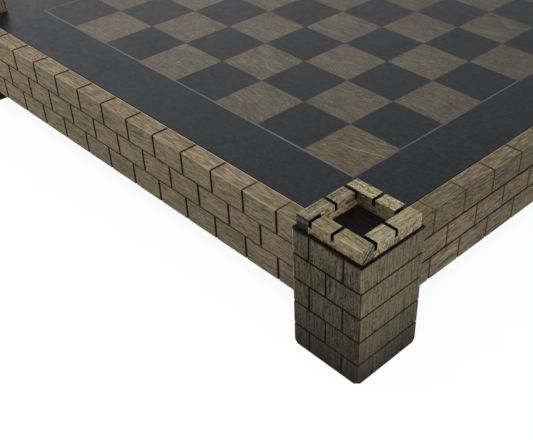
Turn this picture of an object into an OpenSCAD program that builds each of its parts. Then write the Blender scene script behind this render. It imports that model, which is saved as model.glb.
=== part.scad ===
// Castle chessboard.
// A flat inlaid board is carried between four square towers, and four rails
// carved like a stone wall close the sides. Millimetres, +Z up, feet on z = 0,
// the centre of the board on the Z axis, the front side towards -Y.

/* [Playing field] */
// Side of one square of the field
square = 40; // [30:1:60]
// Squares along one side of the field
squares = 8; // [8]
// Thickness of the squares, the inlaid line and the border
top_t = 3; // [2:0.5:5]
// Width of the pale line inlaid round the field
line_w = 1.2; // [0.8:0.1:3]
// Width of the dark border, pale line included
border_w = 40; // [34:1:60]

/* [Base panel] */
// Thickness of the panel that carries the field
panel_t = 9; // [6:1:15]
// Gap between the panel and the rails and towers round it
panel_gap = 0.2; // [0.1:0.1:0.5]

/* [Stone courses] */
// Height of one course of stones, on rails and towers alike
course_h = 16; // [12:0.5:22]
// Courses in a rail
rail_courses = 3; // [3]
// Courses in a tower
tower_courses = 5; // [5]
// Length of one stone of a rail
stone_l = 26.9; // [20:0.1:40]
// Length of the first stone, from the end that the joints are counted from
first_stone = 27.3; // [20:0.1:34]
// Width of the sawn joints between stones
joint_w = 1.1; // [0.8:0.1:2]
// Depth of the sawn joints
joint_d = 0.6; // [0.5:0.1:2.5]
// Worn bevel along both lips of a joint
joint_lip = 0.25; // [0.1:0.05:0.4]

/* [Rails] */
// Thickness of a rail
rail_t = 12.5; // [11:0.5:18]
// Worn bevel along the upper edges of a rail
rail_edge = 0.5; // [0.2:0.1:1.5]

/* [Towers] */
// Side of a square tower
tower_w = 46.5; // [42:0.5:54]
// How far a tower stands out in front of the rails
tower_out = 14.5; // [8:0.5:18]
// Height of the top of a tower over the playing surface
tower_rise = 12; // [4:1:20]
// Bevel along the upright edges of a tower
tower_edge = 0.4; // [0.2:0.1:1.5]
// Rounding of the edges under the foot of a tower
foot_r = 2; // [1:0.5:5]
// Rounding of the corners under the foot of a tower, seen along a diagonal
foot_corner_r = 5; // [2:0.5:8]

/* [Crowns] */
// Width of the painted ledge left round a crown
ledge = 1.75; // [1:0.25:4]
// Width of a crown strip
strip_w = 8.5; // [6:0.5:12]
// Height of a crown strip
strip_h = 8; // [5:0.5:14]
// Width of the sawn notches between the merlons
notch_w = 2; // [1:0.5:4]
// Share of the height of a strip that a notch goes down
notch_share = 0.5; // [0.3:0.05:0.7]
// Place of the middle notch, as a share of the length of a strip
notch_place = 0.45; // [0.35:0.01:0.65]
// Bevel along the long edges of a strip
strip_edge = 0.3; // [0.1:0.1:1]

/* [Hidden joinery] */
// Side of the square ledger strips under the panel
ledger_w = 12; // [8:1:16]
// Gap left at each end of a ledger strip
ledger_gap = 0.5; // [0.5:0.5:3]
// Diameter of the rail dowels
dowel_d = 6; // [4:0.5:8]
// Length of the rail dowels
dowel_l = 24; // [16:1:30]
// Diameter of the shank of a panel screw
screw_d = 3.5; // [2.5:0.5:4.5]
// Diameter of the head of a panel screw
screw_head_d = 7; // [6:0.5:7.5]
// How far a panel screw goes into the panel
screw_bite = 4.5; // [3:0.5:5]
// Distance of the outer screws of a ledger from the ends of its rail
screw_end = 30; // [20:5:60]
// Clearance on the diameter of dowel and screw holes
hole_clear = 0.1; // [0.05:0.05:0.3]
// Spare depth at the blind end of a hole
hole_spare = 0.5; // [0.2:0.1:1]

/* [Hidden] */
$fn = 48;
field = square * squares;
half = field / 2;
rail_h = rail_courses * course_h;
tower_h = tower_courses * course_h;
board_z = tower_h - tower_rise;
leg_h = board_z - rail_h;
// inner face of a tower, measured out from the edge of the field
tower_in = max(2, border_w + rail_t + tower_out - tower_w);
tower_c = half + tower_in + tower_w / 2;
rail_l = 2 * (half + tower_in);
rail_in = half + border_w;
rail_out = rail_in + rail_t;
panel_half = rail_in - panel_gap;
panel_notch = half + tower_in - panel_gap;
panel_z = board_z - top_t - panel_t;
ring = tower_w - 2 * ledge;
strip_l = ring - strip_w;
notch_d = strip_h * notch_share;
ledger_l = rail_l - 2 * ledger_gap;
ledger_z = panel_z - ledger_w;
head_h = (screw_head_d - screw_d) / 2;
dowel_z = [rail_h / 4, rail_h * 3 / 4];
screw_x = [-rail_l / 2 + screw_end, 0, rail_l / 2 - screw_end];
spill = 0.5;
// distance between opposite bevelled corners of a tower, and a hair more
diagonal = (tower_w - tower_edge) * sqrt(2) + 0.1;

// Outline of a sawn joint: across the joint on X, into the wood on +Y.
function joint_points() = [
  [-joint_w / 2 - joint_lip - spill, -spill],
  [-joint_w / 2, joint_lip],
  [-joint_w / 2, joint_d],
  [joint_w / 2, joint_d],
  [joint_w / 2, joint_lip],
  [joint_w / 2 + joint_lip + spill, -spill]
];

// Upright joint in a face that looks towards -Y.
module upright_joint(x, z0, z1) {
  translate([x, 0, z0])
    linear_extrude(z1 - z0)
      polygon(joint_points());
}

// Level joint in a face that looks towards -Y.
module level_joint(x0, x1, z) {
  translate([x0, 0, z])
    rotate([90, 0, 90])
      linear_extrude(x1 - x0)
        polygon([for (p = joint_points()) [p[1], p[0]]]);
}

// Joint sawn across a top face, down from height z.
module top_joint(x, y0, y1, z) {
  translate([x, y1, z])
    rotate([90, 0, 0])
      linear_extrude(y1 - y0)
        polygon([for (p = joint_points()) [p[0], -p[1]]]);
}

// Upright joints of one course of a tower: quarter points, or the middle.
function tower_joints(course) =
  course % 2 == 0 ? [-tower_w / 4, tower_w / 4] : [0];

// Carved joints of one face of a tower.
module tower_face_joints() {
  translate([0, -tower_w / 2, 0]) {
    for (k = [1 : tower_courses - 1])
      level_joint(-tower_w / 2 - spill, tower_w / 2 + spill, k * course_h);
    for (k = [0 : tower_courses - 1]) {
      z1 = tower_h - k * course_h;
      low = k == tower_courses - 1 ? spill : 0;
      high = k == 0 ? spill : 0;
      for (x = tower_joints(k))
        upright_joint(x, z1 - course_h - low, z1 + high);
    }
  }
}

// Square bar with bevelled upright edges.
module tower_bar() {
  h = tower_w / 2;
  e = tower_edge;
  linear_extrude(tower_h)
    polygon([
      [-h + e, -h], [h - e, -h], [h, -h + e], [h, h - e],
      [h - e, h], [-h + e, h], [-h, h - e], [-h, -h + e]
    ]);
}

// Outline of a tower w wide, with its lower corners rounded by r.
module foot_outline(w, r) {
  translate([-w / 2, r])
    square([w, tower_h - r]);
  translate([-w / 2 + r, 0])
    square([w - 2 * r, tower_h]);
  for (s = [-1, 1])
    translate([s * (w / 2 - r), r])
      circle(r = r);
}

// That outline carried through the tower, turned by a degrees.
module foot_shape(a, w, r) {
  rotate([0, 0, a])
    translate([0, w / 2 + spill, 0])
      rotate([90, 0, 0])
        linear_extrude(w + 2 * spill)
          foot_outline(w, r);
}

// Blind holes for the two dowels of one rail, in the tower face towards -X.
module tower_dowel_holes(rail_mid) {
  for (z = dowel_z)
    translate([-tower_w / 2 - spill, rail_mid, leg_h + z])
      rotate([0, 90, 0])
        cylinder(d = dowel_d + hole_clear, h = dowel_l / 2 + hole_spare + spill);
}

// Tower as it stands at the front right corner, centred on the Z axis.
module tower_block() {
  mid = rail_in + rail_t / 2 - tower_c;
  difference() {
    intersection() {
      tower_bar();
      foot_shape(0, tower_w, foot_r);
      foot_shape(90, tower_w, foot_r);
      foot_shape(45, diagonal, foot_corner_r);
      foot_shape(135, diagonal, foot_corner_r);
    }
    for (a = [0, 90, 180, 270])
      rotate([0, 0, a])
        tower_face_joints();
    tower_dowel_holes(-mid);
    rotate([0, 0, -90])
      tower_dowel_holes(mid);
  }
}

// Puts a tower or a crown strip at corner number n, front right first.
module at_corner(n) {
  rotate([0, 0, 90 * n])
    translate([tower_c, -tower_c, 0])
      children();
}

module tower_front_right() { color("#6a5f50") at_corner(0) tower_block(); }
module tower_back_right() { color("#6a5f50") at_corner(1) tower_block(); }
module tower_back_left() { color("#6a5f50") at_corner(2) tower_block(); }
module tower_front_left() { color("#6a5f50") at_corner(3) tower_block(); }

// Notch sawn across a strip, from x0 to x1.
module strip_notch(x0, x1) {
  translate([x0, -ring / 2 - spill, tower_h + strip_h - notch_d])
    cube([x1 - x0, strip_w + 2 * spill, notch_d + spill]);
}

// Front strip of a crown. It butts against the left strip and runs to the
// right corner; a notch over the butt joint and one near the middle leave
// two merlons.
module crown_strip() {
  e = strip_edge;
  x0 = -ring / 2 + strip_w;
  x_mid = x0 + strip_l * notch_place;
  difference() {
    translate([x0, -ring / 2, tower_h])
      rotate([90, 0, 90])
        linear_extrude(strip_l)
          polygon([
            [0, 0], [strip_w, 0], [strip_w, strip_h - e],
            [strip_w - e, strip_h], [e, strip_h], [0, strip_h - e]
          ]);
    strip_notch(x0 - spill, x0 + notch_w);
    strip_notch(x_mid - notch_w / 2, x_mid + notch_w / 2);
  }
}

// Strip number s of the crown at corner n: front, right, back, left.
module crown_part(n, s) {
  color("#8d8468")
    at_corner(n)
      rotate([0, 0, 90 * (s - n)])
        crown_strip();
}

module crown_front_right_strip_front() { crown_part(0, 0); }
module crown_front_right_strip_right() { crown_part(0, 1); }
module crown_front_right_strip_back() { crown_part(0, 2); }
module crown_front_right_strip_left() { crown_part(0, 3); }
module crown_back_right_strip_front() { crown_part(1, 0); }
module crown_back_right_strip_right() { crown_part(1, 1); }
module crown_back_right_strip_back() { crown_part(1, 2); }
module crown_back_right_strip_left() { crown_part(1, 3); }
module crown_back_left_strip_front() { crown_part(2, 0); }
module crown_back_left_strip_right() { crown_part(2, 1); }
module crown_back_left_strip_back() { crown_part(2, 2); }
module crown_back_left_strip_left() { crown_part(2, 3); }
module crown_front_left_strip_front() { crown_part(3, 0); }
module crown_front_left_strip_right() { crown_part(3, 1); }
module crown_front_left_strip_back() { crown_part(3, 2); }
module crown_front_left_strip_left() { crown_part(3, 3); }

// Uncarved rail: outer face on y = 0, length along X, middle on x = 0.
module rail_bar() {
  e = rail_edge;
  translate([-rail_l / 2, 0, leg_h])
    rotate([90, 0, 90])
      linear_extrude(rail_l)
        polygon([
          [0, 0], [rail_t, 0], [rail_t, rail_h - e],
          [rail_t - e, rail_h], [e, rail_h], [0, rail_h - e]
        ]);
}

// Joints of one course, counted from the end on the side given by from.
module course_joints(k, from) {
  shift = k % 2 == 0 ? 0 : -stone_l / 2;
  z1 = board_z - k * course_h;
  high = k == 0 ? spill : 0;
  low = k == rail_courses - 1 ? spill : 0;
  for (d = [first_stone + shift : stone_l : rail_l - 2 * joint_w])
    upright_joint(from * (rail_l / 2 - d), z1 - course_h - low, z1 + high);
}

// Front rail, carved on its outer and upper faces, bored for the dowels.
module carved_rail(from) {
  difference() {
    rail_bar();
    for (k = [1 : rail_courses - 1])
      level_joint(-rail_l / 2 - spill, rail_l / 2 + spill, board_z - k * course_h);
    for (k = [0 : rail_courses - 1])
      course_joints(k, from);
    for (d = [first_stone : stone_l : rail_l - 2 * joint_w])
      top_joint(from * (rail_l / 2 - d), -spill, rail_t + spill, board_z);
    for (s = [-1, 1])
      for (z = dowel_z)
        translate([s * (rail_l / 2 + spill), rail_t / 2, leg_h + z])
          rotate([0, -s * 90, 0])
            cylinder(d = dowel_d + hole_clear, h = dowel_l / 2 + hole_spare + spill);
  }
}

// Puts a piece drawn for the front side at side n: front, right, back, left.
module at_side(n) {
  rotate([0, 0, 90 * n])
    children();
}

module rail_at(n, from) {
  color("#7b6f5c")
    at_side(n)
      translate([0, -rail_out, 0])
        carved_rail(from);
}

module rail_front() { rail_at(0, 1); }
module rail_right() { rail_at(1, -1); }
module rail_back() { rail_at(2, -1); }
module rail_left() { rail_at(3, 1); }

// Holes for the panel screws of the front side, from z0 up to z1.
module screw_holes(z0, z1) {
  for (x = screw_x)
    translate([x, -rail_in + ledger_w / 2, z0])
      cylinder(d = screw_d + hole_clear, h = z1 - z0);
}

module base_panel() {
  color("#a8865a")
    difference() {
      translate([-panel_half, -panel_half, panel_z])
        cube([2 * panel_half, 2 * panel_half, panel_t]);
      for (a = [0, 90, 180, 270])
        rotate([0, 0, a]) {
          translate([panel_notch, -panel_half - spill, panel_z - spill])
            cube([tower_w, panel_half - panel_notch + spill, panel_t + 2 * spill]);
          screw_holes(panel_z - spill, panel_z + screw_bite + hole_spare);
        }
    }
}

// Squares of one rank, counted from the front; odd = 1 takes the light ones.
module rank_squares(rank, odd) {
  for (file = [1 : squares])
    if ((file + rank) % 2 == odd)
      translate([-half + (file - 1) * square, -half + (rank - 1) * square, board_z - top_t])
        cube([square, square, top_t]);
}

module light_rank(rank) { color("#5f564a") rank_squares(rank, 1); }
module dark_rank(rank) { color("#161a26") rank_squares(rank, 0); }

module light_squares_rank_1() { light_rank(1); }
module light_squares_rank_2() { light_rank(2); }
module light_squares_rank_3() { light_rank(3); }
module light_squares_rank_4() { light_rank(4); }
module light_squares_rank_5() { light_rank(5); }
module light_squares_rank_6() { light_rank(6); }
module light_squares_rank_7() { light_rank(7); }
module light_squares_rank_8() { light_rank(8); }
module dark_squares_rank_1() { dark_rank(1); }
module dark_squares_rank_2() { dark_rank(2); }
module dark_squares_rank_3() { dark_rank(3); }
module dark_squares_rank_4() { dark_rank(4); }
module dark_squares_rank_5() { dark_rank(5); }
module dark_squares_rank_6() { dark_rank(6); }
module dark_squares_rank_7() { dark_rank(7); }
module dark_squares_rank_8() { dark_rank(8); }

// Front piece of a mitred frame between two squares round the Z axis.
module mitred_strip(inner, outer) {
  translate([0, 0, board_z - top_t])
    linear_extrude(top_t)
      polygon([[-inner, -inner], [inner, -inner], [outer, -outer], [-outer, -outer]]);
}

module line_at(n) {
  color("#8f8676")
    at_side(n)
      mitred_strip(half, half + line_w);
}

module inlaid_line_front() { line_at(0); }
module inlaid_line_right() { line_at(1); }
module inlaid_line_back() { line_at(2); }
module inlaid_line_left() { line_at(3); }

// Border strip, mitred in the corners and cut out round the towers.
module border_at(n) {
  color("#141823")
    at_side(n)
      difference() {
        mitred_strip(half + line_w, panel_half);
        for (s = [-1, 1])
          translate([s * (panel_notch + tower_w / 2), -panel_notch - tower_w / 2, board_z])
            cube([tower_w, tower_w, 3 * top_t], center = true);
      }
}

module border_front() { border_at(0); }
module border_right() { border_at(1); }
module border_back() { border_at(2); }
module border_left() { border_at(3); }

// Ledger strip glued inside a rail, with countersunk holes from below.
module ledger_at(n) {
  color("#9c7d52")
    at_side(n)
      difference() {
        translate([-ledger_l / 2, -rail_in, ledger_z])
          cube([ledger_l, ledger_w, ledger_w]);
        screw_holes(ledger_z - spill, panel_z + spill);
        for (x = screw_x)
          translate([x, -rail_in + ledger_w / 2, ledger_z - spill])
            cylinder(
              d1 = screw_head_d + hole_clear + 2 * spill,
              d2 = screw_d + hole_clear,
              h = head_h + spill
            );
      }
}

module ledger_front() { ledger_at(0); }
module ledger_right() { ledger_at(1); }
module ledger_back() { ledger_at(2); }
module ledger_left() { ledger_at(3); }

// Round dowels in both ends of every rail.
module rail_dowels() {
  color("#b79a6c")
    for (n = [0 : 3])
      at_side(n)
        for (s = [-1, 1])
          for (z = dowel_z)
            translate([s * rail_l / 2 - dowel_l / 2, -rail_in - rail_t / 2, leg_h + z])
              rotate([0, 90, 0])
                cylinder(d = dowel_d, h = dowel_l);
}

// Countersunk screws from below, through the ledgers into the panel.
module panel_screws() {
  color("#8a8d90")
    for (n = [0 : 3])
      at_side(n)
        for (x = screw_x)
          translate([x, -rail_in + ledger_w / 2, ledger_z])
            rotate_extrude()
              polygon([
                [0, 0], [screw_head_d / 2, 0], [screw_d / 2, head_h],
                [screw_d / 2, ledger_w + screw_bite], [0, ledger_w + screw_bite]
              ]);
}

tower_front_right();
tower_back_right();
tower_back_left();
tower_front_left();
crown_front_right_strip_front();
crown_front_right_strip_right();
crown_front_right_strip_back();
crown_front_right_strip_left();
crown_back_right_strip_front();
crown_back_right_strip_right();
crown_back_right_strip_back();
crown_back_right_strip_left();
crown_back_left_strip_front();
crown_back_left_strip_right();
crown_back_left_strip_back();
crown_back_left_strip_left();
crown_front_left_strip_front();
crown_front_left_strip_right();
crown_front_left_strip_back();
crown_front_left_strip_left();
rail_front();
rail_right();
rail_back();
rail_left();
base_panel();
light_squares_rank_1();
light_squares_rank_2();
light_squares_rank_3();
light_squares_rank_4();
light_squares_rank_5();
light_squares_rank_6();
light_squares_rank_7();
light_squares_rank_8();
dark_squares_rank_1();
dark_squares_rank_2();
dark_squares_rank_3();
dark_squares_rank_4();
dark_squares_rank_5();
dark_squares_rank_6();
dark_squares_rank_7();
dark_squares_rank_8();
inlaid_line_front();
inlaid_line_right();
inlaid_line_back();
inlaid_line_left();
border_front();
border_right();
border_back();
border_left();
ledger_front();
ledger_right();
ledger_back();
ledger_left();
rail_dowels();
panel_screws();
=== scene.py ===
import bpy
import math
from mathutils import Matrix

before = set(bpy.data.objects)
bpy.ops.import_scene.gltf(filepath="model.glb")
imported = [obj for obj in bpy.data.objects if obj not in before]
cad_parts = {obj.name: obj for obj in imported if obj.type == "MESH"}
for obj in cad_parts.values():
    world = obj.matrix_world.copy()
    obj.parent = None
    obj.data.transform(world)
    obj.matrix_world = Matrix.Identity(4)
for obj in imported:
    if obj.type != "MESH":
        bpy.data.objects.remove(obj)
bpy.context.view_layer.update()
bpy.ops.object.select_all(action="DESELECT")


# Towers
# Four square posts of grey-brown stained wood with upright grain, sawn into five courses of
# stones with joints burnt brown. The top is painted black round the crown, painted shade
# darkens the feet almost to black, and the rails are dowelled into two of the faces.

# all sizes are in millimetres, and places are counted from the middle of the board
TOWER_MID = 203.75
TOWER_HALF = 23.25
TOWER_TOP = 80.0
COURSE = 16.0
TOP_STONE_FOOT = TOWER_TOP - COURSE


def srgb(red, green, blue):
    """A paint colour from its 0 to 255 values."""
    return tuple(
        v / 12.92 if v <= 0.04045 else ((v + 0.055) / 1.055) ** 2.4
        for v in (red / 255, green / 255, blue / 255)
    ) + (1.0,)


TOWER_GREY = srgb(101, 92, 70)
TOWER_BROWN = srgb(107, 94, 71)
TOWER_PORE = srgb(40, 31, 22)
TOWER_PLANED = srgb(106, 97, 76)
FOOT_PAINTED_SHADE = srgb(36, 27, 26)
PALE_ARRIS_AND_HIGHLIGHT = srgb(176, 162, 132)
GATHERED_STAIN = srgb(38, 31, 23)
BURNT_BLACK = srgb(17, 11, 6)
BURNT_BROWN = srgb(36, 23, 14)
BLACK_PAINT = srgb(13, 10, 9)
THIN_PAINT = srgb(20, 20, 14)


def new_finish(name):
    """A material and its tree, with the shader that everything is fed into."""
    finish = bpy.data.materials.new(name)
    finish.use_nodes = True
    tree = finish.node_tree
    return finish, tree, tree.nodes["Principled BSDF"]


def plug(tree, socket, value):
    """Sets a socket to a number or joins it to another node's output."""
    if isinstance(value, bpy.types.NodeSocket):
        tree.links.new(value, socket)
    else:
        socket.default_value = value


def calc(tree, kind, *values):
    """One sum on numbers, such as ADD, MULTIPLY or ABSOLUTE."""
    node = tree.nodes.new("ShaderNodeMath")
    node.operation = kind
    for socket, value in zip(node.inputs, values):
        plug(tree, socket, value)
    return node.outputs[0]


def vector(tree, kind, *values):
    """One sum on places or colours, such as ADD, MULTIPLY or FLOOR."""
    node = tree.nodes.new("ShaderNodeVectorMath")
    node.operation = kind
    for socket, value in zip(node.inputs, values):
        plug(tree, socket, value)
    return node.outputs[0]


def smallest(tree, first, *others):
    """The smallest of several numbers."""
    for other in others:
        first = calc(tree, "MINIMUM", first, other)
    return first


def times(tree, first, *others):
    """Several numbers multiplied; with masks, where every one of them is on."""
    for other in others:
        first = calc(tree, "MULTIPLY", first, other)
    return first


def apart_from(tree, mask):
    """Where a mask is off."""
    return calc(tree, "SUBTRACT", 1.0, mask)


def ease(tree, value, start, end):
    """0 before start and 1 after end, with a soft step between; it falls if start is above end."""
    node = tree.nodes.new("ShaderNodeMapRange")
    node.interpolation_type = "SMOOTHSTEP"
    low, high = (0.0, 1.0) if start < end else (1.0, 0.0)
    for socket, number in zip(node.inputs[1:5], (min(start, end), max(start, end), low, high)):
        socket.default_value = number
    plug(tree, node.inputs[0], value)
    return node.outputs[0]


def spread(tree, value, low, high, start=0.3, end=0.7):
    """Low up to start, high from end on and even between; without them, the middle of a noise."""
    node = tree.nodes.new("ShaderNodeMapRange")
    for socket, number in zip(node.inputs[1:5], (start, end, low, high)):
        socket.default_value = number
    plug(tree, node.inputs[0], value)
    return node.outputs[0]


def part_way(tree, share, none, full):
    """A number on its way from none to full, by a share."""
    return spread(tree, share, none, full, 0.0, 1.0)


def toned(tree, share, under, over):
    """One colour laid over another, by a share."""
    node = tree.nodes.new("ShaderNodeMix")
    node.data_type = "RGBA"
    plug(tree, node.inputs[0], share)
    for socket, value in zip(node.inputs[6:8], (under, over)):
        plug(tree, socket, value)
    return node.outputs[2]


def shaded(tree, colour, factor):
    """A colour times a number."""
    node = tree.nodes.new("ShaderNodeVectorMath")
    node.operation = "SCALE"
    plug(tree, node.inputs[0], colour[:3] if isinstance(colour, tuple) else colour)
    plug(tree, node.inputs["Scale"], factor)
    return node.outputs[0]


def marked(tree, mask, colour, factor):
    """A colour times a number where a mask is on, and as it was elsewhere."""
    return toned(tree, mask, colour, shaded(tree, colour, factor))


def millimetres(tree, turn=(0.0, 0.0, 0.0)):
    """The place on the part in millimetres, turned so that the grain runs along X."""
    place = tree.nodes.new("ShaderNodeTexCoord")
    mapped = tree.nodes.new("ShaderNodeMapping")
    mapped.inputs["Scale"].default_value = (1000.0, 1000.0, 1000.0)
    mapped.inputs["Rotation"].default_value = tuple(math.radians(a) for a in turn)
    tree.links.new(place.outputs["Object"], mapped.inputs["Vector"])
    return mapped.outputs[0]


def axes(tree, where):
    """The three numbers of a place."""
    node = tree.nodes.new("ShaderNodeSeparateXYZ")
    tree.links.new(where, node.inputs[0])
    return node.outputs[0], node.outputs[1], node.outputs[2]


def noise_at(tree, where, scale, detail, rough=0.5):
    """A cloudy noise: its node, for the number or the colour that it gives."""
    noise = tree.nodes.new("ShaderNodeTexNoise")
    tree.links.new(where, noise.inputs["Vector"])
    for name, value in (("Scale", scale), ("Detail", detail), ("Roughness", rough)):
        noise.inputs[name].default_value = value
    return noise


def grain(tree, where, length, width, detail=2.0, rough=0.5, seed=0.0):
    """Noise drawn out along the grain: length and width of its marks in millimetres."""
    drawn_out = vector(tree, "MULTIPLY", where, (1 / length, 1 / width, 1 / width))
    own_place = vector(tree, "ADD", drawn_out, (seed, seed * 1.7, seed * 0.6))
    return noise_at(tree, own_place, 1.0, detail, rough).outputs[0]


def wander(tree, where, size, amount):
    """The same place, pushed sideways a little so that the grain isn't ruled straight."""
    push = noise_at(tree, where, 1.0 / size, 2.0).outputs["Color"]
    centred = vector(tree, "ADD", push, (-0.5, -0.5, -0.5))
    return vector(tree, "ADD", where, shaded(tree, centred, amount))


def timber(tree, where, grey, warm, dark, figure=(70.0, 4.0), bite=1.0, speckle=1.0, seed=0.0, bend=15.0):
    """Open-grained wood: wavy bands of two tones, streaks, fine fibres, flecks and short dark pores.
    Gives its colour and the height of its surface. Figure is the length and width of the bands,
    bite how strongly the grain stands out, speckle how strongly the flecks do, bend how far the
    grain wanders."""
    bent = wander(tree, where, 46.0, bend)
    band = spread(tree, grain(tree, bent, *figure, 3.0, 0.55, seed), 0.0, 1.0, 0.42, 0.64)
    cloud = spread(tree, grain(tree, where, 34.0, 20.0, seed=seed + 4.0), 0.88, 1.12)
    streak = grain(tree, bent, 40.0, 1.2, detail=1.0, seed=seed + 6.0)
    fibre = grain(tree, bent, 12.0, 0.9, detail=1.0, seed=seed + 8.0)
    fleck = grain(tree, bent, 1.6, 1.0, detail=0.0, seed=seed + 12.0)
    pore = ease(tree, grain(tree, bent, 4.2, 0.7, detail=1.0, seed=seed + 16.0), 0.60, 0.72)
    marks = calc(
        tree, "ADD", spread(tree, streak, -0.26 * bite, 0.26 * bite, 0.38, 0.62),
        spread(tree, fibre, -0.36 * bite, 0.36 * bite, 0.36, 0.64),
    )
    marks = calc(tree, "ADD", marks, spread(tree, fleck, -0.3 * speckle, 0.3 * speckle, 0.36, 0.64))
    middle = sum(grey[:3]) / 3
    pale = tuple(2.0 * (0.7 * part + 0.3 * middle) for part in grey[:3]) + (1.0,)
    colour = shaded(tree, toned(tree, band, grey, warm), cloud)
    colour = toned(tree, part_way(tree, marks, 0.0, 1.0), colour, pale)
    colour = toned(tree, spread(tree, marks, 1.2, 0.0, -1.0, 0.0), colour, dark)
    colour = toned(tree, times(tree, pore, 0.35), colour, dark)
    height = calc(tree, "ADD", times(tree, fibre, 0.6), times(tree, pore, -0.7))
    return colour, height


def finished(tree, shader, colour, height, rough, gloss, depth, edge=0.25):
    """Feeds the shader. The grain can be felt, depth deep, and the arrises are rounded by edge."""
    tree.links.new(colour, shader.inputs["Base Color"])
    tree.links.new(rough, shader.inputs["Roughness"])
    shader.inputs["Specular IOR Level"].default_value = gloss
    rounded = tree.nodes.new("ShaderNodeBevel")
    rounded.samples = 4
    rounded.inputs["Radius"].default_value = edge / 1000
    bump = tree.nodes.new("ShaderNodeBump")
    bump.inputs["Distance"].default_value = depth / 1000
    tree.links.new(rounded.outputs[0], bump.inputs["Normal"])
    tree.links.new(height, bump.inputs["Height"])
    tree.links.new(bump.outputs[0], shader.inputs["Normal"])


def dress(finish, *names):
    """Puts a finish on nodes of the model."""
    for name in names:
        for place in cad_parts[name].material_slots:
            place.material = finish


def from_tower_middle(tree, place):
    """How far a place lies from the middle of its own tower, along X and along Y."""
    return calc(tree, "SUBTRACT", place, times(tree, calc(tree, "SIGN", place), TOWER_MID))


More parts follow.
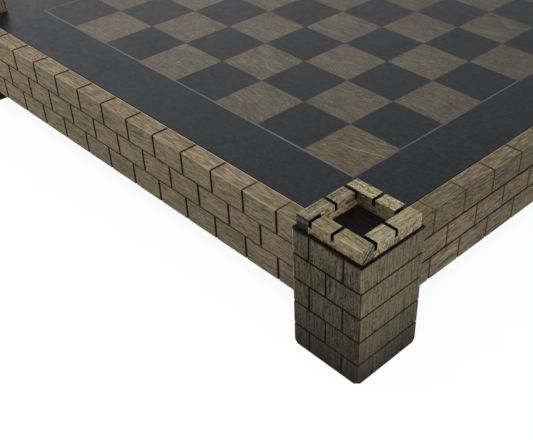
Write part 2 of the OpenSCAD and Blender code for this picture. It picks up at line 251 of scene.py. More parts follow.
def tower_finish():
    """Stained wood, darker on the forward face, worn pale at the arrises with a painted highlight, and
    darkened towards the foot by painted shade.
    """
    finish, tree, shader = new_finish("tower_stained_wood")
    x, y, z = axes(tree, millimetres(tree))
    side_x, side_y = (from_tower_middle(tree, place) for place in (x, y))
    under_x = calc(tree, "SUBTRACT", TOWER_HALF, calc(tree, "ABSOLUTE", side_x))
    under_y = calc(tree, "SUBTRACT", TOWER_HALF, calc(tree, "ABSOLUTE", side_y))
    under_top = calc(tree, "SUBTRACT", TOWER_TOP, z)
    leftward = spread(tree, side_x, 1.0, 0.0, -TOWER_HALF + 0.25, -TOWER_HALF + 5.25)
    rightward = ease(tree, side_x, TOWER_HALF - 1.6, TOWER_HALF - 1.0)
    forward = ease(tree, side_y, -TOWER_HALF + 1.0, -TOWER_HALF + 0.3)

    upright = millimetres(tree, (0.0, 90.0, 0.0))
    colour, height = timber(
        tree, upright, TOWER_GREY, TOWER_BROWN, TOWER_PORE,
        figure=(60.0, 2.5), bite=1.05, speckle=1.15, seed=3.0, bend=8.0,
    )

    # darker on the forward face; painted shade darkens every face towards the foot
    colour = toned(tree, forward, toned(tree, 0.35, colour, TOWER_PLANED), colour)
    colour = marked(tree, forward, colour, spread(tree, z, 0.40, 0.50, 58.0, 74.0))
    # painted shade at the foot: its upper edge wavers, and it goes almost black at the bottom
    foot_shade_edge = spread(tree, grain(tree, upright, 26.0, 9.0, seed=23.0), -4.0, 4.0)
    foot = spread(tree, calc(tree, "ADD", z, foot_shade_edge), 1.0, 0.0, 0.0, TOP_STONE_FOOT)
    foot = calc(tree, "POWER", foot, 2.4)
    colour = marked(tree, foot, colour, 0.09)
    colour = toned(tree, times(tree, foot, 0.35), colour, FOOT_PAINTED_SHADE)

    # bare wood, worn pale and with a painted highlight, shows along the left arrises and on the top
    # stone's right one; lower down stain has gathered in a dark line there, with a rubbed strip beside it
    worn_off = calc(tree, "SUBTRACT", under_x, times(tree, leftward, 0.6))
    arris = times(tree, ease(tree, worn_off, 0.7, 0.35), ease(tree, under_y, 0.6, 0.25))
    broken = ease(tree, grain(tree, upright, 9.0, 3.0, 3.0, 0.6, seed=31.0), 0.40, 0.54)
    pale_arris = times(tree, leftward, spread(tree, z, 0.1, 0.85, 10.0, 78.0))
    pale_arris_top = spread(tree, z, 0.0, 0.5, TOP_STONE_FOOT - 2.0, TOP_STONE_FOOT + 10.0)
    pale_arris = calc(tree, "MAXIMUM", pale_arris, pale_arris_top)
    colour = toned(tree, times(tree, arris, broken, pale_arris), colour, PALE_ARRIS_AND_HIGHLIGHT)
    lower = times(
        tree, apart_from(tree, leftward), ease(tree, z, TOP_STONE_FOOT + 2.0, TOP_STONE_FOOT - 2.0)
    )
    rubbed = times(tree, forward, lower, ease(tree, under_x, 2.2, 0.9))
    colour = marked(tree, rubbed, colour, 1.2)
    colour = toned(tree, times(tree, arris, lower, 0.75), colour, GATHERED_STAIN)
    colour = marked(tree, rightward, colour, spread(tree, side_y, 1.07, 0.93, -20.0, 20.0))

    # joints burnt in dark brown; on the right face painted light makes them paler, the upright ones
    # brighter than the wood so that their own shade hardly shows
    skin = smallest(tree, under_x, under_y, under_top)
    sawn = times(tree, ease(tree, skin, 0.10, 0.22), ease(tree, z, 2.5, 5.0))
    level = ease(tree, calc(tree, "PINGPONG", z, COURSE / 2), 1.1, 0.9)
    lit_upright_joint = times(tree, rightward, apart_from(tree, level))
    burnt = spread(tree, grain(tree, upright, 30.0, 30.0, seed=37.0), 0.0, 1.0, 0.46, 0.66)
    joint = toned(tree, burnt, BURNT_BLACK, BURNT_BROWN)
    joint = toned(tree, times(tree, rightward, 0.14), joint, colour)
    joint = toned(tree, times(tree, lit_upright_joint, 0.95), joint, shaded(tree, colour, 1.45))
    joint = toned(tree, times(tree, foot, 0.25), joint, colour)
    colour = toned(tree, sawn, colour, joint)

    # black paint on the top, round and inside the crown, run a little over the forward edge
    thick = spread(tree, side_x, 0.3, 0.0, -20.0, -10.0)
    run = calc(tree, "ADD", spread(tree, grain(tree, upright, 60.0, 3.0, seed=39.0), 0.1, 1.5), thick)
    haze = times(tree, forward, ease(tree, calc(tree, "ADD", z, run), TOWER_TOP - 1.3, TOWER_TOP - 0.2))
    colour = toned(tree, times(tree, haze, 0.5), colour, THIN_PAINT)
    run = calc(tree, "ADD", times(tree, forward, run), times(tree, rightward, 0.5))
    painted = ease(tree, calc(tree, "ADD", z, run), TOWER_TOP - 0.5, TOWER_TOP + 0.3)
    painted = calc(tree, "MAXIMUM", painted, ease(tree, z, TOWER_TOP - 0.12, TOWER_TOP - 0.04))
    brushed = grain(tree, millimetres(tree), 8.0, 0.9, 3.0, 0.6, seed=40.0)
    colour = toned(tree, painted, colour, shaded(tree, BLACK_PAINT, spread(tree, brushed, 0.2, 2.4)))

    rough = calc(tree, "ADD", spread(tree, height, 0.56, 0.74), times(tree, sawn, 0.2))
    finished(tree, shader, colour, height, rough, gloss=0.06, depth=0.12)
    return finish


CORNERS = ("front_right", "back_right", "back_left", "front_left")
dress(tower_finish(), *("tower_" + corner for corner in CORNERS))


# Crowns
# A ring of four pale strips is glued on each tower, each strip butting against the next.
# Two notches are sawn across every strip, one over the butt joint, and blackened like
# the ledge below, so that eight merlons stand round an open well.

RING_HALF = 21.5
STRIP_WIDTH = 8.5
STRIP_TOP = 88.0
NOTCH_FLOOR = 84.0
NOTCH_MID = 2.525
NOTCH_WIDTH = 2.0
BUTT_NOTCH_END = STRIP_WIDTH - RING_HALF + NOTCH_WIDTH

CROWN_PORE = srgb(72, 64, 46)
HONEY = srgb(116, 98, 58)
CROWN_ARRIS = srgb(190, 176, 142)
SPLIT_SHADE = srgb(20, 19, 16)
CHARRED_EDGE = srgb(18, 16, 12)
NOTCH_BLACK = srgb(12, 9, 8)


def end_grain(tree, up, in_from_outer, seed, end_low, end_high, ring_slope, ring_rise, charred):
    """The end of a strip. Its rings rise by ring_slope from ring_rise at the outer face, and a dark
    split follows them, with end_low below and end_high above. The top edge is charred."""
    ring_height = calc(tree, "MULTIPLY_ADD", in_from_outer, ring_slope, ring_rise)
    slant = calc(tree, "SUBTRACT", up, ring_height)
    colour = toned(tree, ease(tree, slant, -0.8, 0.6), end_low, end_high)
    mottle = ease(tree, grain(tree, millimetres(tree), 1.5, 1.1, detail=1.0, seed=seed), 0.42, 0.60)
    colour = shaded(tree, colour, part_way(tree, mottle, 1.35, 0.5))
    ring = calc(tree, "PINGPONG", calc(tree, "ADD", slant, 40.0), 1.6)
    colour = shaded(tree, colour, part_way(tree, ease(tree, ring, 0.5, 1.3), 1.3, 0.65))
    split = ease(tree, calc(tree, "ABSOLUTE", slant), 1.1, 0.4)
    colour = toned(tree, times(tree, split, 0.9), colour, SPLIT_SHADE)
    return toned(tree, times(tree, ease(tree, up, 6.9, 7.5), charred), colour, CHARRED_EDGE)


def crown_finish(
    side, turns, grey, warm, bite, top_tone, low_tone, speckled, lined, chatter, inner_side,
    end_low, end_high, ring_slope, ring_rise, charred, foot_paint,
):
    """The wood of the strips on one side of the crowns, turns quarter turns from the front.
    top_tone and low_tone: how light the top and the lower outer face are; speckled, lined and
    chatter: how far specks, lines and saw marks darken it; end_low to charred: see end_grain;
    foot_paint: how high the black paint stands on the foot of the outer face."""
    finish, tree, shader = new_finish("crown_pale_wood_" + side)
    x, y, z = axes(tree, millimetres(tree))
    side_x, side_y = (from_tower_middle(tree, place) for place in (x, y))
    minus_x = times(tree, side_x, -1.0)
    minus_y = times(tree, side_y, -1.0)
    along, across = ((side_x, side_y), (side_y, minus_x), (minus_x, minus_y), (minus_y, side_x))[turns]
    under_top = calc(tree, "SUBTRACT", STRIP_TOP, z)
    up = calc(tree, "SUBTRACT", z, TOWER_TOP)
    in_from_outer = calc(tree, "ADD", across, RING_HALF)
    outer = ease(tree, across, -RING_HALF + 0.5, -RING_HALF + 0.1)
    inner = ease(tree, across, -RING_HALF + STRIP_WIDTH - 0.5, -RING_HALF + STRIP_WIDTH - 0.1)
    end = ease(tree, along, RING_HALF - 0.5, RING_HALF - 0.1)

    grain_way = millimetres(tree, (0.0, 0.0, -90.0 * turns))
    seed = 50.0 + 7 * turns
    colour, height = timber(
        tree, grain_way, grey, warm, CROWN_PORE,
        figure=(40.0, 2.2), bite=bite, speckle=bite, seed=seed, bend=10.0,
    )
    colour = marked(tree, ease(tree, under_top, 0.5, 0.1), colour, top_tone)
    line = grain(tree, wander(tree, grain_way, 18.0, 2.5), 30.0, 1.0, detail=1.0, seed=seed + 30.0)
    colour = marked(tree, ease(tree, line, 0.54, 0.62), colour, 1.0 - lined)

    # short dark specks where the cut crosses the rays
    speck = grain(tree, grain_way, 1.5, 0.9, detail=1.0, seed=seed + 35.0)
    colour = marked(tree, ease(tree, speck, 0.50, 0.62), colour, 1.0 - speckled)

    end_colour = end_grain(
        tree, up, in_from_outer, seed + 40.0, end_low, end_high, ring_slope, ring_rise, charred
    )
    colour = toned(tree, end, colour, end_colour)

    # the lower part of the outer face has its own tone, with blotches and upright saw marks
    low = times(tree, outer, ease(tree, z, STRIP_TOP - 3.0, STRIP_TOP - 7.0))
    colour = marked(tree, low, colour, low_tone)
    colour = toned(tree, times(tree, low, 0.3), colour, shaded(tree, HONEY, low_tone))
    blotch = grain(tree, grain_way, 4.0, 1.6, rough=0.55, seed=seed + 47.0)
    colour = marked(tree, low, colour, spread(tree, blotch, 0.55, 1.42, 0.36, 0.64))
    mark = ease(tree, grain(tree, grain_way, 0.9, 2.6, detail=1.0, seed=seed + 43.0), 0.48, 0.60)
    mark = times(tree, mark, outer, ease(tree, z, STRIP_TOP, STRIP_TOP - 2.5))
    colour = shaded(tree, colour, part_way(tree, mark, 1.0 + 0.4 * chatter, 1.0 - chatter))

    # the side that looks into the well is rough-sawn and browner
    rough_sawn = ease(tree, grain(tree, grain_way, 3.0, 1.1, detail=1.0, seed=seed + 45.0), 0.42, 0.58)
    well_side = shaded(tree, inner_side, part_way(tree, rough_sawn, 1.6, 0.35))
    # painted light and shade: each inner side is lighter towards the front right of its tower and darker
    # towards the back left
    painted_light_way = calc(tree, "SUBTRACT", side_x, side_y)
    well_side = shaded(tree, well_side, spread(tree, painted_light_way, 0.65, 1.5, -22.0, -4.0))
    colour = toned(tree, times(tree, inner, 0.9), colour, well_side)

    # the outer arris is worn pale here and there
    arris = times(tree, ease(tree, under_top, 0.8, 0.2), ease(tree, in_from_outer, 0.8, 0.2))
    broken = ease(tree, grain(tree, grain_way, 5.0, 2.0, 3.0, 0.6, seed=71.0), 0.42, 0.58)
    colour = toned(tree, times(tree, arris, broken, 0.5), colour, CROWN_ARRIS)

    # the foot of the strip caught the black paint of the ledge, more so at the left
    caught = times(tree, spread(tree, side_x, 2.2, 1.0, -20.0, -8.0), foot_paint)
    wet_foot = times(tree, outer, ease(tree, calc(tree, "SUBTRACT", z, caught), TOWER_TOP, TOWER_TOP - 0.3))
    colour = toned(tree, wet_foot, colour, BLACK_PAINT)

    # blackened notches, and the wall of the next strip's notch
    off_mid = calc(tree, "ABSOLUTE", calc(tree, "SUBTRACT", along, NOTCH_MID))
    mid_notch = ease(tree, off_mid, NOTCH_WIDTH / 2 + 0.06, NOTCH_WIDTH / 2 + 0.02)
    butt_notch = ease(tree, along, BUTT_NOTCH_END + 0.06, BUTT_NOTCH_END + 0.02)
    next_wall = ease(tree, along, RING_HALF - STRIP_WIDTH - 0.1, RING_HALF - STRIP_WIDTH + 0.1)
    notch = calc(tree, "MAXIMUM", mid_notch, butt_notch)
    notch = calc(tree, "MAXIMUM", notch, times(tree, inner, next_wall))
    notch = times(tree, notch, ease(tree, z, NOTCH_FLOOR - 0.08, NOTCH_FLOOR - 0.03))
    colour = toned(tree, notch, colour, NOTCH_BLACK)

    finished(tree, shader, colour, height, spread(tree, height, 0.5, 0.7), gloss=0.1, depth=0.12)
    return finish


CROWN_SIDES = {
    "front": dict(
        grey=srgb(118, 110, 82), warm=srgb(125, 111, 79), bite=0.60, top_tone=0.90, low_tone=0.84,
        speckled=0.12, lined=0.30, chatter=0.35, inner_side=srgb(84, 74, 54),
        end_low=srgb(96, 91, 74), end_high=srgb(104, 99, 88), ring_slope=1.0, ring_rise=0.0,
        charred=0.2, foot_paint=0.8,
    ),
    "right": dict(
        grey=srgb(155, 143, 112), warm=srgb(151, 137, 105), bite=0.56, top_tone=0.70, low_tone=1.22,
        speckled=0.15, lined=0.20, chatter=0.50, inner_side=srgb(84, 76, 58),
        end_low=srgb(112, 106, 88), end_high=srgb(122, 115, 100), ring_slope=1.0, ring_rise=0.0,
        charred=0.3, foot_paint=0.0,
    ),
    "back": dict(
        grey=srgb(142, 132, 101), warm=srgb(138, 125, 91), bite=0.75, top_tone=1.0, low_tone=0.90,
        speckled=0.65, lined=0.25, chatter=0.40, inner_side=srgb(66, 62, 45),
        end_low=srgb(60, 58, 52), end_high=srgb(50, 52, 52), ring_slope=1.0, ring_rise=0.0,
        charred=0.3, foot_paint=0.0,
    ),
    "left": dict(
        grey=srgb(117, 111, 88), warm=srgb(121, 111, 86), bite=0.75, top_tone=0.96, low_tone=0.90,
        speckled=0.35, lined=0.48, chatter=0.30, inner_side=srgb(138, 122, 90),
        end_low=srgb(22, 21, 19), end_high=srgb(54, 53, 45), ring_slope=0.1, ring_rise=3.4,
        charred=0.95, foot_paint=0.8,
    ),
}
for turns, (side, tones) in enumerate(CROWN_SIDES.items()):
    strips = ["crown_" + corner + "_strip_" + side for corner in CORNERS]
    dress(crown_finish(side, turns, **tones), *strips)


# Rails
# Four long boards close the sides, grain lengthways. Level joints run the whole length,
# upright ones are sawn in running bond and the top course is cut across the top as well.
# Each rail is held by two dowels in the towers at its ends.

RAIL_OUT = 212.5
RAIL_THICK = 12.5
RAIL_TOP = 68.0
RAIL_FOOT = 20.0
RAIL_HALF = 180.5
FIRST_STONE = 27.3
STONE = 26.9
TOP_COURSE_FOOT = RAIL_TOP - COURSE
JOINT_REACH = 0.8

RAIL_GREY = srgb(104, 96, 72)
RAIL_WARM = srgb(118, 102, 76)
RAIL_PORE = srgb(50, 41, 29)
ROSY_TINT = (1.26, 1.08, 0.98)
NEAR_TOWER_BROWN = srgb(106, 88, 54)
PAINTED_LIGHT_INNER_ARRIS = srgb(200, 192, 168)


def rail_finish(
    name, turn, from_end, seed, bite, tone, courses, painted_light_along, top_painted_light_along, top_tone, top_colour, near_tower_tone,
    upright_joint, level_joint, top_joint, scorched, level_scorched, joint_light_near_tower,
    arris_tone, arris_share, inner_light_share, rosy,
):
    """The wood of a pair of rails, turned so that it lies along X; from_end is the end where the
    first stone is counted from. courses: how light the upper and lower course are against the
    middle one; painted_light_along and top_painted_light_along: painted light on the face and the
    top at two places along the rail; top_tone: painted light on the top against the face;
    near_tower_tone: how light the top is beside the tower; scorched and level_scorched: how far the
    wood beside upright and level joints took their colour; joint_light_near_tower: how far painted
    light makes the joints beside the tower as pale as the wood; rosy: how strong the rosy patches
    of the lower courses are."""
    finish, tree, shader = new_finish(name)
    grain_way = millimetres(tree, (0.0, 0.0, turn))
    along, across, z = axes(tree, grain_way)
    under_out = calc(tree, "SUBTRACT", RAIL_OUT, calc(tree, "ABSOLUTE", across))
    under_top = calc(tree, "SUBTRACT", RAIL_TOP, z)
    from_tower = calc(tree, "MULTIPLY_ADD", along, from_end, RAIL_HALF)
    top = ease(tree, under_top, 0.5, 0.1)

    colour, height = timber(
        tree, grain_way, RAIL_GREY, RAIL_WARM, RAIL_PORE,
        figure=(60.0, 3.2), bite=bite, speckle=0.8 * bite, seed=seed, bend=12.0,
    )
    colour = shaded(tree, colour, tone)

    # painted light on the face falls off along the rail; the face also changes from course to
    # course, with rosy patches low down
    faced = shaded(tree, colour, spread(tree, along, *painted_light_along))
    faced = shaded(tree, faced, spread(tree, z, 1.0, courses[0], 46.0, 58.0))
    faced = shaded(tree, faced, spread(tree, z, courses[1], 1.0, 28.0, 44.0))
    patch = spread(tree, grain(tree, grain_way, 30.0, 9.0, seed=seed + 24.0), 0.0, 1.0, 0.42, 0.62)
    patch = times(tree, patch, ease(tree, z, TOP_COURSE_FOOT + 2.0, TOP_COURSE_FOOT - 4.0), rosy)
    reddened = vector(tree, "MULTIPLY", faced, ROSY_TINT)
    faced = toned(tree, patch, shaded(tree, faced, 1.0 - 0.12 * rosy), reddened)

    # the top is browner, with the grain standing out, from hands and polish; painted light makes it
    # lighter on the front and back rails and darker on the side rails; beside the tower it is
    # darker and browner
    dash = ease(tree, grain(tree, grain_way, 9.0, 1.2, detail=1.0, seed=seed + 27.0), 0.44, 0.60)
    top_polish_and_light = shaded(tree, colour, part_way(tree, dash, top_tone * 1.36, top_tone * 0.54))
    # painted light on the top, falling off along the rail
    top_polish_and_light = shaded(tree, top_polish_and_light, spread(tree, along, *top_painted_light_along))
    top_polish_and_light = toned(tree, 0.3, top_polish_and_light, shaded(tree, top_colour, top_tone))
    near_tower_top = ease(tree, from_tower, 60.0, 15.0)
    top_polish_and_light = marked(tree, near_tower_top, top_polish_and_light, near_tower_tone)
    top_polish_and_light = toned(tree, times(tree, near_tower_top, 0.25), top_polish_and_light, NEAR_TOWER_BROWN)
    colour = toned(tree, top, faced, top_polish_and_light)

    # the outer top arris in short dashes, worn pale with a painted highlight on the front and back
    # rails and dark on the side rails; the inner arris is painted pale all along, painted light against
    # the shade beside it
    arris = times(tree, ease(tree, under_top, 0.6, 0.3), ease(tree, under_out, 0.6, 0.3))
    broken = grain(tree, grain_way, 14.0, 14.0, rough=0.6, seed=seed + 21.0)
    broken = spread(tree, broken, 0.3, 1.0, 0.42, 0.54)
    colour = toned(tree, times(tree, arris, broken, arris_share), colour, arris_tone)
    over_inner = calc(tree, "SUBTRACT", RAIL_THICK, under_out)
    lit_inner_arris = times(tree, ease(tree, under_top, 0.9, 0.6), ease(tree, over_inner, 1.1, 0.6))
    colour = toned(tree, times(tree, lit_inner_arris, inner_light_share), colour, PAINTED_LIGHT_INNER_ARRIS)

    # where the joints are: the upright ones stand in running bond, and none is cut inside
    second = times(
        tree, ease(tree, under_top, COURSE - 0.3, COURSE + 0.3),
        ease(tree, under_top, 2 * COURSE + 0.3, 2 * COURSE - 0.3),
    )
    along_wall = calc(tree, "MULTIPLY_ADD", along, from_end, RAIL_HALF - FIRST_STONE)
    along_wall = calc(tree, "ADD", along_wall, times(tree, second, STONE / 2))
    off_joint = calc(tree, "PINGPONG", calc(tree, "ADD", along_wall, STONE * 20), STONE / 2)
    off_course = calc(tree, "PINGPONG", calc(tree, "SUBTRACT", z, RAIL_FOOT), COURSE / 2)
    in_face = ease(tree, under_out, JOINT_REACH + 0.05, JOINT_REACH - 0.05)
    not_inside = ease(tree, under_out, RAIL_THICK - 0.6, RAIL_THICK - 0.8)
    beside_tower = ease(tree, from_tower, 90.0, 20.0)

    # scorched wood beside the joints
    beside = ease(tree, off_joint, 1.25, 0.8)
    char = times(tree, in_face, beside, ease(tree, under_top, 0.3, 0.7), scorched)
    colour = toned(tree, char, colour, upright_joint)
    weaker = part_way(tree, beside_tower, 0.55, 0.0)
    colour = toned(tree, times(tree, top, not_inside, beside, weaker, scorched), colour, top_joint)
    between = times(tree, ease(tree, under_top, 2.0, 3.0), ease(tree, z, RAIL_FOOT + 2.0, RAIL_FOOT + 3.0))
    level_char = times(tree, in_face, ease(tree, off_course, 1.1, 0.7), between, level_scorched)
    colour = toned(tree, level_char, colour, level_joint)

    # joints: the upright ones burnt black to their lips, the level ones only browned
    skin = smallest(tree, under_out, under_top)
    level = times(tree, in_face, ease(tree, off_course, 0.9, 0.8))
    to_the_lip = times(
        tree, ease(tree, skin, 0.03, 0.10), apart_from(tree, level), apart_from(tree, arris)
    )
    sawn = calc(tree, "MAXIMUM", to_the_lip, ease(tree, skin, 0.18, 0.28))
    sawn = times(tree, sawn, not_inside, ease(tree, z, RAIL_FOOT - 0.02, RAIL_FOOT + 0.02))
    burnt = spread(tree, grain(tree, grain_way, 40.0, 40.0, seed=seed + 33.0), 0.7, 1.4, 0.4, 0.6)
    joint = toned(tree, level, upright_joint, shaded(tree, level_joint, burnt))
    across_top = ease(tree, under_top, JOINT_REACH + 0.05, JOINT_REACH - 0.05)
    across_top = times(tree, across_top, ease(tree, under_out, 0.7, 1.0))
    joint = toned(tree, across_top, joint, shaded(tree, top_joint, burnt))
    # painted light: beside the tower the top course's joints are painted in the wood's own colour, as if
    # lit to the bottom
    lit_joints_near_tower = times(tree, beside_tower, ease(tree, z, TOP_COURSE_FOOT + 1.0, TOP_COURSE_FOOT + 2.0), joint_light_near_tower)
    joint = toned(tree, lit_joints_near_tower, joint, colour)
    colour = toned(tree, sawn, colour, joint)

    rough = calc(tree, "ADD", spread(tree, height, 0.52, 0.70), times(tree, sawn, 0.2))
    finished(tree, shader, colour, height, rough, gloss=0.1, depth=0.12)
    return finish


lengthways = rail_finish(
    "rail_wood_front_and_back", turn=0.0, from_end=-1.0, seed=90.0, bite=0.88, tone=0.895,
    courses=(1.03, 0.85), painted_light_along=(1.46, 1.0, -150.0, -45.0), top_painted_light_along=(1.25, 1.0, -150.0, -45.0),
    top_tone=1.235, top_colour=srgb(126, 107, 89), near_tower_tone=0.74,
    upright_joint=srgb(24, 13, 5), level_joint=srgb(60, 48, 32), top_joint=srgb(64, 38, 18),
    scorched=0.95, level_scorched=0.0, joint_light_near_tower=0.5,
    arris_tone=srgb(176, 164, 138), arris_share=0.6, inner_light_share=0.6, rosy=0.2,
)
crossways = rail_finish(
    "rail_wood_right_and_left", turn=-90.0, from_end=1.0, seed=130.0, bite=1.1, tone=1.0,
    courses=(0.735, 0.94), painted_light_along=(1.17, 0.89, -135.0, -88.0), top_painted_light_along=(1.09, 1.04, -165.0, -140.0),
    top_tone=0.76, top_colour=srgb(122, 110, 88), near_tower_tone=0.80,
    # painted light: the side rails' upright joints are painted pale reddish brown, as if lit into
    upright_joint=srgb(82, 62, 44), level_joint=srgb(38, 24, 9), top_joint=srgb(70, 54, 38),
    scorched=0.3, level_scorched=0.5, joint_light_near_tower=0.9,
    arris_tone=srgb(56, 45, 34), arris_share=0.7, inner_light_share=0.25, rosy=0.9,
)
dress(lengthways, "rail_front", "rail_back")
dress(crossways, "rail_right", "rail_left")


# Carcass under the field
# A plywood panel lies on softwood ledgers glued inside the rails, and is screwed to them
# from below; round beech dowels tie the rails to the towers. It shows only from underneath.

BIRCH = (srgb(176, 146, 104), srgb(190, 158, 114), srgb(120, 92, 60))
PINE = (srgb(166, 134, 88), srgb(182, 142, 90), srgb(118, 84, 50))
BEECH = (srgb(188, 156, 112), srgb(196, 160, 112), srgb(150, 116, 76))
ZINC_BRIGHT = srgb(178, 180, 184)
ZINC_DULL = srgb(132, 134, 138)


def plain_timber_finish(name, tones, seed, rough, turn=0.0):
    """Planed timber without stain, in its two tones and that of its pores."""
    finish, tree, shader = new_finish(name)
    grain_way = millimetres(tree, (0.0, 0.0, turn))
    colour, height = timber(tree, grain_way, *tones, figure=(110.0, 9.0), seed=seed)
    rough = spread(tree, height, rough - 0.08, rough + 0.1)
    finished(tree, shader, colour, height, rough, gloss=0.25, depth=0.08)
    return finish


panel_finish = plain_timber_finish("birch_plywood", BIRCH, seed=160.0, rough=0.6)
ledger_finish = plain_timber_finish("pine_ledger", PINE, seed=170.0, rough=0.62)
ledger_finish_across = plain_timber_finish("pine_ledger_across", PINE, seed=175.0, rough=0.62, turn=-90.0)
dowel_finish = plain_timber_finish("beech_dowel", BEECH, seed=180.0, rough=0.55)
dress(panel_finish, "base_panel")
dress(ledger_finish, "ledger_front", "ledger_back")
dress(ledger_finish_across, "ledger_right", "ledger_left")
dress(dowel_finish, "rail_dowels")


def screw_finish():
    """Zinc, dull in patches, with fine turning marks."""
    finish, tree, shader = new_finish("zinc_screw")
    shader.inputs["Metallic"].default_value = 1.0
    turned = grain(tree, millimetres(tree), 1.5, 0.15, 3.0, 0.6, seed=190.0)
    worn = grain(tree, millimetres(tree), 3.0, 3.0, 3.0, 0.6, seed=195.0)
    colour = toned(tree, ease(tree, worn, 0.45, 0.65), ZINC_BRIGHT, ZINC_DULL)
    rough = spread(tree, turned, 0.28, 0.46)
    finished(tree, shader, colour, turned, rough, gloss=0.5, depth=0.02, edge=0.1)
    return finish


dress(screw_finish(), "panel_screws")


# Light squares
# Open-grained veneered squares, stained grey-brown under a thin satin coat and glued on the
# panel. Each is cut from its own place in the sheet, so grain and tone change a little from
# square to square.

SQUARE = 40.0
FIELD_HALF = 160.0
LAST_LINE = FIELD_HALF - SQUARE
CORNER_VEIN_START = (132.8, -140.5)
CORNER_VEIN_SLOPE = 0.25

VENEER_GREY = srgb(78, 72, 57)
VENEER_WARM = srgb(84, 74, 58)
VENEER_PORE = srgb(44, 37, 29)
VENEER_ROSY = srgb(96, 80, 70)
VENEER_SPECK = srgb(160, 148, 118)
VENEER_VEIN = srgb(136, 126, 104)
CORNER_LEAF = srgb(84, 73, 48)
CORNER_VEIN = srgb(140, 132, 104)
GLUE_LINE = srgb(40, 37, 32)


def square_of(tree, where):
    """Three random numbers of the square that a place is on, and the place within the square."""
    moved = vector(tree, "ADD", where, (FIELD_HALF, FIELD_HALF, 0.0))
    counted = vector(tree, "MULTIPLY", moved, (1 / SQUARE, 1 / SQUARE, 0.0))
    whole = vector(tree, "FLOOR", counted)
    lot = tree.nodes.new("ShaderNodeTexWhiteNoise")
    tree.links.new(vector(tree, "ADD", whole, (0.5, 0.5, 0.5)), lot.inputs["Vector"])
    return lot.outputs["Color"], vector(tree, "FRACTION", counted)


def hairline(tree, inside):
    """The glue line round a square: on within a fifth of a millimetre of its edge."""
    u, v, _ = axes(tree, inside)
    near_u = calc(tree, "SUBTRACT", 0.5, calc(tree, "ABSOLUTE", calc(tree, "SUBTRACT", u, 0.5)))
    near_v = calc(tree, "SUBTRACT", 0.5, calc(tree, "ABSOLUTE", calc(tree, "SUBTRACT", v, 0.5)))
    return ease(tree, smallest(tree, near_u, near_v), 0.012, 0.003)


def light_square_finish():
    """Grey-brown veneer; the square beside the front right tower has a leaf of its own."""
    finish, tree, shader = new_finish("light_square_veneer")
    place = millimetres(tree)
    x, y, _ = axes(tree, place)
    lot, inside = square_of(tree, place)
    pick_one, pick_two, _ = axes(tree, lot)
    turned = tree.nodes.new("ShaderNodeVectorRotate")
    turned.rotation_type = "Z_AXIS"
    tree.links.new(place, turned.inputs["Vector"])
    tree.links.new(part_way(tree, pick_one, -0.32, 0.26), turned.inputs["Angle"])
    own = vector(tree, "ADD", turned.outputs[0], shaded(tree, lot, 900.0))

    # each square's own tone, clouds, rosy patches and pale specks
    colour, height = timber(
        tree, own, VENEER_GREY, VENEER_WARM, VENEER_PORE,
        figure=(60.0, 6.0), bite=0.72, speckle=0.80, seed=200.0,
    )
    colour = shaded(tree, colour, part_way(tree, pick_two, 0.90, 1.12))
    cloud = grain(tree, own, 14.0, 7.0, rough=0.55, seed=211.0)
    colour = shaded(tree, colour, spread(tree, cloud, 0.86, 1.16, 0.36, 0.64))
    rosy = spread(tree, grain(tree, own, 22.0, 12.0, seed=215.0), 0.0, 0.35, 0.45, 0.7)
    colour = toned(tree, rosy, colour, VENEER_ROSY)
    mottle = grain(tree, own, 1.6, 1.4, detail=1.0, seed=219.0)
    colour = shaded(tree, colour, spread(tree, mottle, 0.86, 1.14, 0.36, 0.64))
    speck = ease(tree, grain(tree, own, 5.0, 1.3, 1.0, 0.6, seed=222.0), 0.68, 0.76)
    colour = toned(tree, times(tree, speck, 0.4), colour, VENEER_SPECK)

    # the square beside the front right tower is a coarser, yellower leaf with one pale vein
    corner = times(
        tree, ease(tree, x, LAST_LINE - 0.1, LAST_LINE + 0.1),
        ease(tree, y, -LAST_LINE + 0.1, -LAST_LINE - 0.1),
    )
    coarse = grain(tree, millimetres(tree, (0.0, 0.0, -14.0)), 5.5, 0.9, detail=1.0, seed=227.0)
    leaf = toned(tree, 0.45, colour, CORNER_LEAF)
    leaf = shaded(tree, leaf, spread(tree, coarse, 0.56, 1.38, 0.36, 0.64))
    start_x, start_y = CORNER_VEIN_START
    vein_way = calc(tree, "MULTIPLY_ADD", calc(tree, "SUBTRACT", x, start_x), CORNER_VEIN_SLOPE, start_y)
    bend = spread(tree, grain(tree, place, 9.0, 9.0, detail=1.0, seed=229.0), -0.6, 0.6)
    off_vein = calc(tree, "ABSOLUTE", calc(tree, "SUBTRACT", calc(tree, "ADD", y, bend), vein_way))
    pale_vein = times(tree, ease(tree, off_vein, 0.75, 0.2), ease(tree, x, 127.0, 138.0), 0.6)
    leaf = toned(tree, pale_vein, leaf, CORNER_VEIN)
    colour = toned(tree, corner, colour, leaf)

    # painted light: the squares are lighter towards the front left of the field and darker
    # towards the back right; there is a pale vein here and there, barely showing
    colour = shaded(tree, colour, spread(tree, calc(tree, "ADD", x, y), 1.06, 0.71, -120.0, 190.0))
    colour = shaded(tree, colour, spread(tree, y, 1.0, 0.92, -60.0, -10.0))
    vein = grain(tree, own, 160.0, 16.0, 1.0, 0.4, seed=230.0)
    vein = ease(tree, calc(tree, "ABSOLUTE", calc(tree, "SUBTRACT", vein, 0.5)), 0.008, 0.002)
    colour = toned(tree, times(tree, vein, 0.2), colour, VENEER_VEIN)
    colour = toned(tree, times(tree, hairline(tree, inside), 0.6), colour, GLUE_LINE)

    rough = spread(tree, height, 0.42, 0.58)
    finished(tree, shader, colour, height, rough, gloss=0.22, depth=0.05, edge=0.1)
    return finish


RANKS = range(1, 9)
dress(light_square_finish(), *("light_squares_rank_%d" % rank for rank in RANKS))


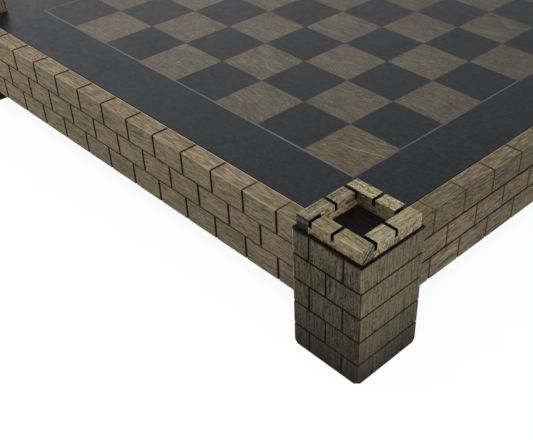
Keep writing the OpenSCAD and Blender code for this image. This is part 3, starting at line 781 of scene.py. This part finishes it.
# Dark squares
# The same veneer dyed black, glued down between the light squares and rubbed to a smooth
# satin, with only a trace of the grain left in the sheen.

DYED_BLACK = srgb(10, 12, 17)
DYED_GREY = srgb(24, 26, 31)
BLACK_GLUE_LINE = srgb(10, 10, 11)


def black_satin(name, seed, squares):
    """Veneer dyed black; squares says whether it is cut up into the squares of the field."""
    finish, tree, shader = new_finish(name)
    place = millimetres(tree)
    bent = wander(tree, place, 40.0, 5.0)
    fibre = grain(tree, bent, 26.0, 0.9, 4.0, 0.6, seed)
    cloud = grain(tree, place, 46.0, 30.0, 3.0, 0.55, seed + 5.0)
    rubbed = grain(tree, place, 5.0, 4.0, 3.0, 0.6, seed + 9.0)
    scuff = grain(tree, bent, 3.2, 1.8, 1.0, 0.6, seed + 14.0)
    colour = toned(tree, spread(tree, fibre, 0.0, 1.0), DYED_BLACK, DYED_GREY)
    colour = shaded(tree, colour, spread(tree, cloud, 0.7, 1.3))
    colour = shaded(tree, colour, spread(tree, scuff, 0.3, 1.7, 0.36, 0.64))
    if squares:
        lot, inside = square_of(tree, place)
        pick = axes(tree, lot)[1]
        colour = shaded(tree, colour, part_way(tree, pick, 0.85, 1.15))
        colour = toned(tree, times(tree, hairline(tree, inside), 0.5), colour, BLACK_GLUE_LINE)
    rough = calc(tree, "ADD", spread(tree, cloud, 0.33, 0.43), spread(tree, rubbed, -0.05, 0.07))
    rough = calc(tree, "ADD", rough, spread(tree, scuff, -0.05, 0.05))
    height = calc(tree, "ADD", times(tree, fibre, 0.7), times(tree, rubbed, 0.3))
    finished(tree, shader, colour, height, rough, gloss=0.2, depth=0.03, edge=0.1)
    return finish


dark_square_finish = black_satin("dark_square_veneer", seed=240.0, squares=True)
dress(dark_square_finish, *("dark_squares_rank_%d" % rank for rank in RANKS))


# Inlaid line
# A pale stringing just over a millimetre wide, let in round the field and mitred at the
# corners.

STRING_FRONT = (srgb(76, 75, 70), srgb(98, 97, 91))
STRING_SIDE = (srgb(61, 60, 56), srgb(80, 79, 73))


def stringing_finish(name, tones, seed, turn=0.0):
    """Pale wood between two tones, patchy along its length."""
    finish, tree, shader = new_finish(name)
    grain_way = millimetres(tree, (0.0, 0.0, turn))
    fibre = grain(tree, grain_way, 12.0, 0.5, 3.0, 0.6, seed)
    patch = grain(tree, grain_way, 22.0, 22.0, seed=seed + 3.0)
    colour = toned(tree, spread(tree, fibre, 0.0, 1.0), *tones)
    colour = shaded(tree, colour, spread(tree, patch, 0.75, 1.2))
    rough = spread(tree, fibre, 0.4, 0.5)
    finished(tree, shader, colour, fibre, rough, gloss=0.25, depth=0.02, edge=0.1)
    return finish


front_stringing = stringing_finish("stringing_lengthways", STRING_FRONT, seed=260.0)
side_stringing = stringing_finish("stringing_crossways", STRING_SIDE, seed=265.0, turn=-90.0)
dress(front_stringing, "inlaid_line_front", "inlaid_line_back")
dress(side_stringing, "inlaid_line_right", "inlaid_line_left")


# Border
# Four mitred strips dyed and finished like the dark squares, cut out at the corners
# where the towers stand, with a hair's gap to the rails.

border_finish = black_satin("dark_border", seed=280.0, squares=False)
dress(border_finish, "border_front", "border_back", "border_right", "border_left")


# Studio
# A plain pale floor under the feet, one large soft lamp from the front right, and a pale
# surround that is lighter towards the left. The camera stands where the photograph was taken.

FLOOR_SIZE = 12.0
FLOOR_DROP = 0.0002
FLOOR_WHITE = 0.92
FLOOR_UNDER_LIGHT = (0.5, 0.5, 0.5, 1.0)
FLOOR_AS_SEEN = (0.95, 0.95, 0.95, 1.0)
LAMP_PLACE = (1.0, -1.0, 1.45)
LAMP_SIZE = 1.2
LAMP_POWER = 22.0
# the camera, in metres and degrees, was fitted to the corners of the squares in the photograph
CAMERA_PLACE = (0.41503, -0.44428, 0.32314)
CAMERA_TURN = (51.0951, -0.6489, 43.8809)
CAMERA_LENS = 55.69
CAMERA_SHIFT = (-0.1285, 0.0563)

bpy.ops.object.select_all(action="DESELECT")
bpy.ops.mesh.primitive_plane_add(size=FLOOR_SIZE, location=(0.0, 0.0, -FLOOR_DROP))
floor = bpy.context.object
floor.name = "studio_floor"
bpy.ops.object.transform_apply(location=True, rotation=True, scale=True)
floor_finish, floor_tree, floor_shader = new_finish("studio_floor_paper")
floor_shader.inputs["Roughness"].default_value = 0.9
floor_shader.inputs["Specular IOR Level"].default_value = 0.0
# the camera and reflections see the paper almost white, the light that it throws back is grey
seen = floor_tree.nodes.new("ShaderNodeEmission")
seen.inputs["Strength"].default_value = 1.0
ray = floor_tree.nodes.new("ShaderNodeLightPath")
mirrored = calc(floor_tree, "MAXIMUM", ray.outputs["Is Glossy Ray"], ray.outputs["Is Transmission Ray"])
straight = calc(floor_tree, "MAXIMUM", ray.outputs["Is Camera Ray"], mirrored)
floor_colour = toned(floor_tree, straight, FLOOR_UNDER_LIGHT, FLOOR_AS_SEEN)
floor_tree.links.new(floor_colour, floor_shader.inputs["Base Color"])
lit = floor_tree.nodes.new("ShaderNodeMixShader")
floor_tree.links.new(times(floor_tree, straight, FLOOR_WHITE), lit.inputs[0])
floor_tree.links.new(floor_shader.outputs[0], lit.inputs[1])
floor_tree.links.new(seen.outputs[0], lit.inputs[2])
floor_tree.links.new(lit.outputs[0], floor_tree.nodes["Material Output"].inputs["Surface"])
floor.data.materials.append(floor_finish)

# the surround is white at the horizon, and higher up darker towards the right
world = bpy.data.worlds.new("studio_surround")
bpy.context.scene.world = world
world.use_nodes = True
air = world.node_tree
backdrop = air.nodes["Background"]
backdrop.inputs["Color"].default_value = (1.0, 1.0, 1.0, 1.0)
looking = air.nodes.new("ShaderNodeTexCoord")
to_the_right, to_the_back, rise = axes(air, looking.outputs["Generated"])
overhead = ease(air, calc(air, "ABSOLUTE", rise), 0.06, 0.24)
sideways = calc(air, "MULTIPLY_ADD", to_the_back, 0.6, to_the_right)
sky = spread(air, sideways, 1.1, 0.5, -0.52, 0.08)
above_horizon = times(air, overhead, calc(air, "SUBTRACT", sky, 1.0))
air.links.new(calc(air, "ADD", above_horizon, 1.0), backdrop.inputs["Strength"])

bpy.ops.object.light_add(type="AREA", location=LAMP_PLACE)
lamp = bpy.context.object
lamp.name = "front_lamp"
lamp.data.shape = "SQUARE"
lamp.data.size = LAMP_SIZE
lamp.data.energy = LAMP_POWER
lamp.rotation_euler = (-lamp.location.normalized()).to_track_quat("-Z", "Y").to_euler()

bpy.ops.object.camera_add(location=CAMERA_PLACE, rotation=tuple(math.radians(a) for a in CAMERA_TURN))
camera = bpy.context.object
camera.name = "photo_camera"
camera.data.sensor_width = 36.0
camera.data.lens = CAMERA_LENS
camera.data.shift_x, camera.data.shift_y = CAMERA_SHIFT
camera.data.clip_start = 0.01
camera.data.dof.use_dof = False
bpy.context.scene.camera = camera
bpy.context.scene.view_settings.view_transform = "Standard"
